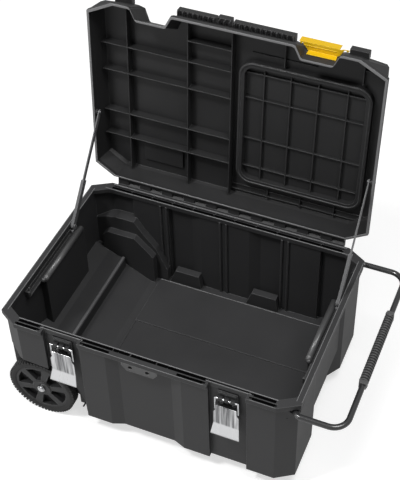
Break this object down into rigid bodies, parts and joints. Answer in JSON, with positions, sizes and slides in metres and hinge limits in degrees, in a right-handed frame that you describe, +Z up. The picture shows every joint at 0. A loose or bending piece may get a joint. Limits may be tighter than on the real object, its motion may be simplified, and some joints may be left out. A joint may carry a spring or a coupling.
{
  "type": "rolling tool case",
  "caption": "Long moulded tool case on side wheels, with a ribbed hinged lid held open by sliding stays, wire latches and a fold down tow handle",
  "frame": {"origin": "middle of the tub's flat underside; the wheels and feet reach 39 mm below it", "axes": "X runs along the case to the tow handle end, Y runs back to the lid hinge, Z runs up"},
  "size_m": [0.8085, 0.5905, 0.8115],
  "materials": {
    "tub_plastic": "fine grained black moulding",
    "lid_plastic": "fine grained black moulding",
    "tab_plastic": "smooth dark grey moulding",
    "track_plastic": "smooth dark grey, slightly glossy",
    "sleeve_plastic": "smooth dark grey",
    "slider_plastic": "smooth dark grey",
    "latch_plastic": "black moulding",
    "hub_plastic": "black moulding with fine grain",
    "foot_rubber": "dull black",
    "tyre_rubber": "dull black rubber",
    "grip_rubber": "dull black rubber",
    "pin_steel": "drawn",
    "rivet_steel": "rolled heads",
    "axle_steel": "drawn",
    "cap_steel": "bright plated",
    "wire_steel": "bright zinc plated wire",
    "plate_steel": "bright zinc plated sheet",
    "strap_steel": "dark grey coated strip",
    "tube_steel": "semi gloss black powder coat",
    "yellow_plate": "gloss yellow paint"
  },
  "bodies": {
    "tub": {"tub": "tub_plastic", "padlock_tab": "tab_plastic", "hinge_pin": "pin_steel", "track_left": "track_plastic", "track_right": "track_plastic", "track_rivets": "rivet_steel", "feet": "foot_rubber", "axles": "axle_steel", "axle_caps": "cap_steel", "latch_base_left": "latch_plastic", "latch_base_right": "latch_plastic", "latch_screws": "rivet_steel"},
    "lid": {"lid": "lid_plastic", "strap_pins": "rivet_steel", "front_plate": "yellow_plate", "plate_rivets": "rivet_steel"},
    "strap_left": {"strap_left": "strap_steel"},
    "strap_right": {"strap_right": "strap_steel"},
    "sleeve_left": {"sleeve_left": "sleeve_plastic"},
    "sleeve_right": {"sleeve_right": "sleeve_plastic"},
    "slider_left": {"slider_left": "slider_plastic"},
    "slider_right": {"slider_right": "slider_plastic"},
    "bail_left": {"bail_left": "wire_steel"},
    "bail_right": {"bail_right": "wire_steel"},
    "catch_left": {"latch_plate_left": "plate_steel"},
    "catch_right": {"latch_plate_right": "plate_steel"},
    "wheel_front": {"hub_front": "hub_plastic", "tyre_front": "tyre_rubber"},
    "wheel_rear": {"hub_rear": "hub_plastic", "tyre_rear": "tyre_rubber"},
    "tow_handle": {"tow_tube": "tube_steel", "tow_grip": "grip_rubber"}
  },
  "joints": [
    {"name": "lid_hinge", "type": "hinge", "parent": "tub", "child": "lid", "pos_m": [0, 0.255, 0.278], "axis": [1, 0, 0], "range_deg": [0, 94.5]},
    {"name": "strap_pivot_left", "type": "hinge", "parent": "lid", "child": "strap_left", "pos_m": [-0.331, 0.26227, 0.4647], "axis": [1, 0, 0], "range_deg": [-139.09, 0]},
    {"name": "sleeve_slide_left", "type": "slide", "parent": "strap_left", "child": "sleeve_left", "axis": [0, 0.6423, 0.7664], "range_m": [0, 0.08852]},
    {"name": "foot_slide_left", "type": "slide", "parent": "tub", "child": "slider_left", "axis": [0, -1, 0], "range_m": [0, 0.2042]},
    {"name": "strap_pivot_right", "type": "hinge", "parent": "lid", "child": "strap_right", "pos_m": [0.331, 0.26227, 0.4647], "axis": [1, 0, 0], "range_deg": [-139.09, 0]},
    {"name": "sleeve_slide_right", "type": "slide", "parent": "strap_right", "child": "sleeve_right", "axis": [0, 0.6423, 0.7664], "range_m": [0, 0.08852]},
    {"name": "foot_slide_right", "type": "slide", "parent": "tub", "child": "slider_right", "axis": [0, -1, 0], "range_m": [0, 0.2042]},
    {"name": "bail_pivot_left", "type": "hinge", "parent": "tub", "child": "bail_left", "pos_m": [-0.194, -0.2405, 0.228], "axis": [-1, 0, 0], "range_deg": [0, 165]},
    {"name": "catch_pivot_left", "type": "hinge", "parent": "bail_left", "child": "catch_left", "pos_m": [-0.194, -0.2405, 0.192], "axis": [-1, 0, 0], "range_deg": [-165.1, 0]},
    {"name": "bail_pivot_right", "type": "hinge", "parent": "tub", "child": "bail_right", "pos_m": [0.194, -0.2405, 0.228], "axis": [-1, 0, 0], "range_deg": [0, 165]},
    {"name": "catch_pivot_right", "type": "hinge", "parent": "bail_right", "child": "catch_right", "pos_m": [0.194, -0.2405, 0.192], "axis": [-1, 0, 0], "range_deg": [-165.1, 0]},
    {"name": "wheel_spin_front", "type": "hinge", "parent": "tub", "child": "wheel_front", "pos_m": [-0.268, -0.2255, 0.044], "axis": [0, 1, 0], "continuous": true},
    {"name": "wheel_spin_rear", "type": "hinge", "parent": "tub", "child": "wheel_rear", "pos_m": [-0.268, 0.2255, 0.044], "axis": [0, 1, 0], "continuous": true},
    {"name": "tow_fold", "type": "hinge", "parent": "tub", "child": "tow_handle", "pos_m": [0.338, 0, 0.238], "axis": [0, 1, 0], "range_deg": [0, 80]}
  ],
  "couplings": [
    {"joint": "strap_pivot_left", "follows": "lid_hinge", "ratio": -1.4698},
    {"joint": "sleeve_slide_left", "follows": "lid_hinge", "m_per_rad": 0.053546},
    {"joint": "foot_slide_left", "follows": "lid_hinge", "m_per_rad": 0.12369},
    {"joint": "strap_pivot_right", "follows": "lid_hinge", "ratio": -1.4698},
    {"joint": "sleeve_slide_right", "follows": "lid_hinge", "m_per_rad": 0.053546},
    {"joint": "foot_slide_right", "follows": "lid_hinge", "m_per_rad": 0.12369},
    {"joint": "catch_pivot_left", "follows": "bail_pivot_left", "ratio": -1},
    {"joint": "catch_pivot_right", "follows": "bail_pivot_right", "ratio": -1}
  ]
}
